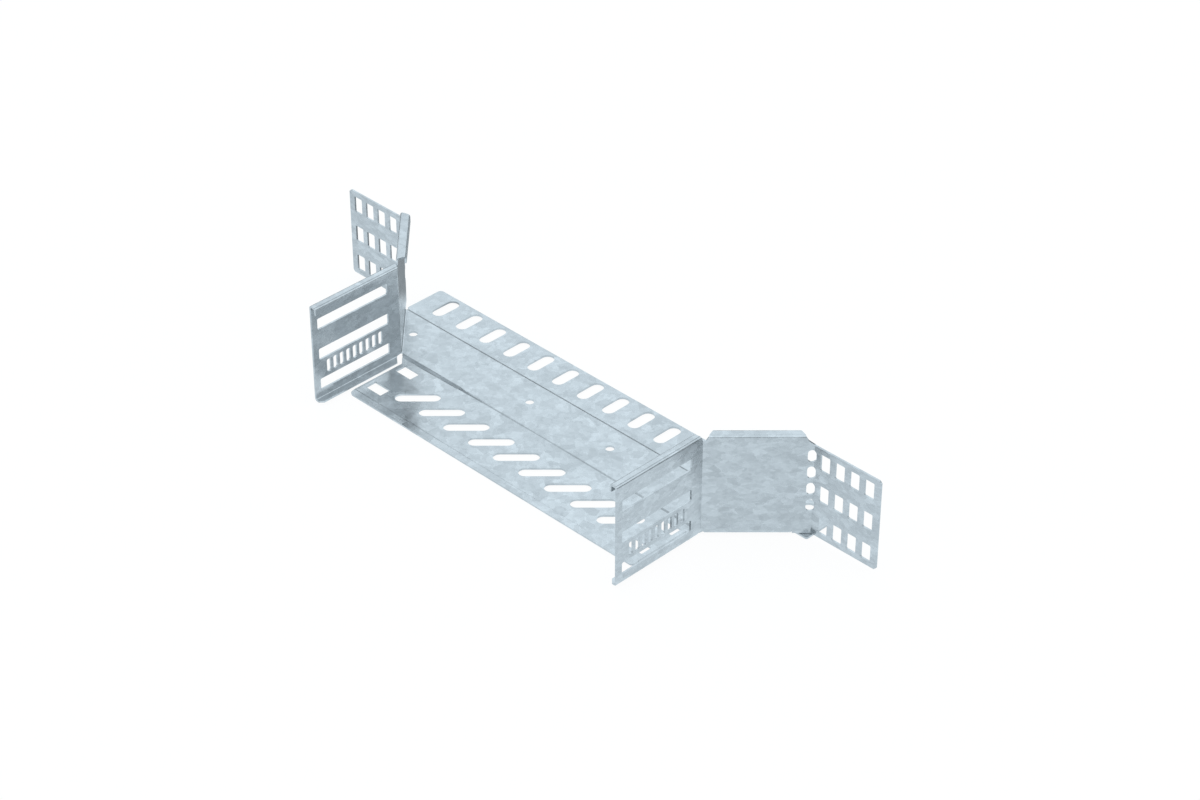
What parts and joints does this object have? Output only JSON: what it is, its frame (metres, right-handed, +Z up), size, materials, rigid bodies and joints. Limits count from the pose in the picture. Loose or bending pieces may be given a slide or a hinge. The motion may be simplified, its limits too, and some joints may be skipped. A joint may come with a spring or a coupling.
{
  "type": "cable tray branch tee",
  "caption": "Low folded steel tee that joins a branch cable tray to the side of a main tray: slotted floor, splayed side walls and bolting flanges, hot-dip galvanised.",
  "frame": {"origin": "Middle of the overall box at its lowest level, halfway between the flange tips and halfway between the walls' front ends and the shoe's back edge", "axes": "X runs along the main tray from flange tip to flange tip, -Y points out along the branch tray, +Y points into the main tray, Z is up"},
  "size_m": [0.512, 0.159, 0.0818],
  "materials": {
    "hot_dip_galvanised_steel": "hot-dip galvanised, satin with soft zinc spangle"
  },
  "bodies": {
    "root": {"branch_tee": "hot_dip_galvanised_steel"}
  },
  "joints": []
}
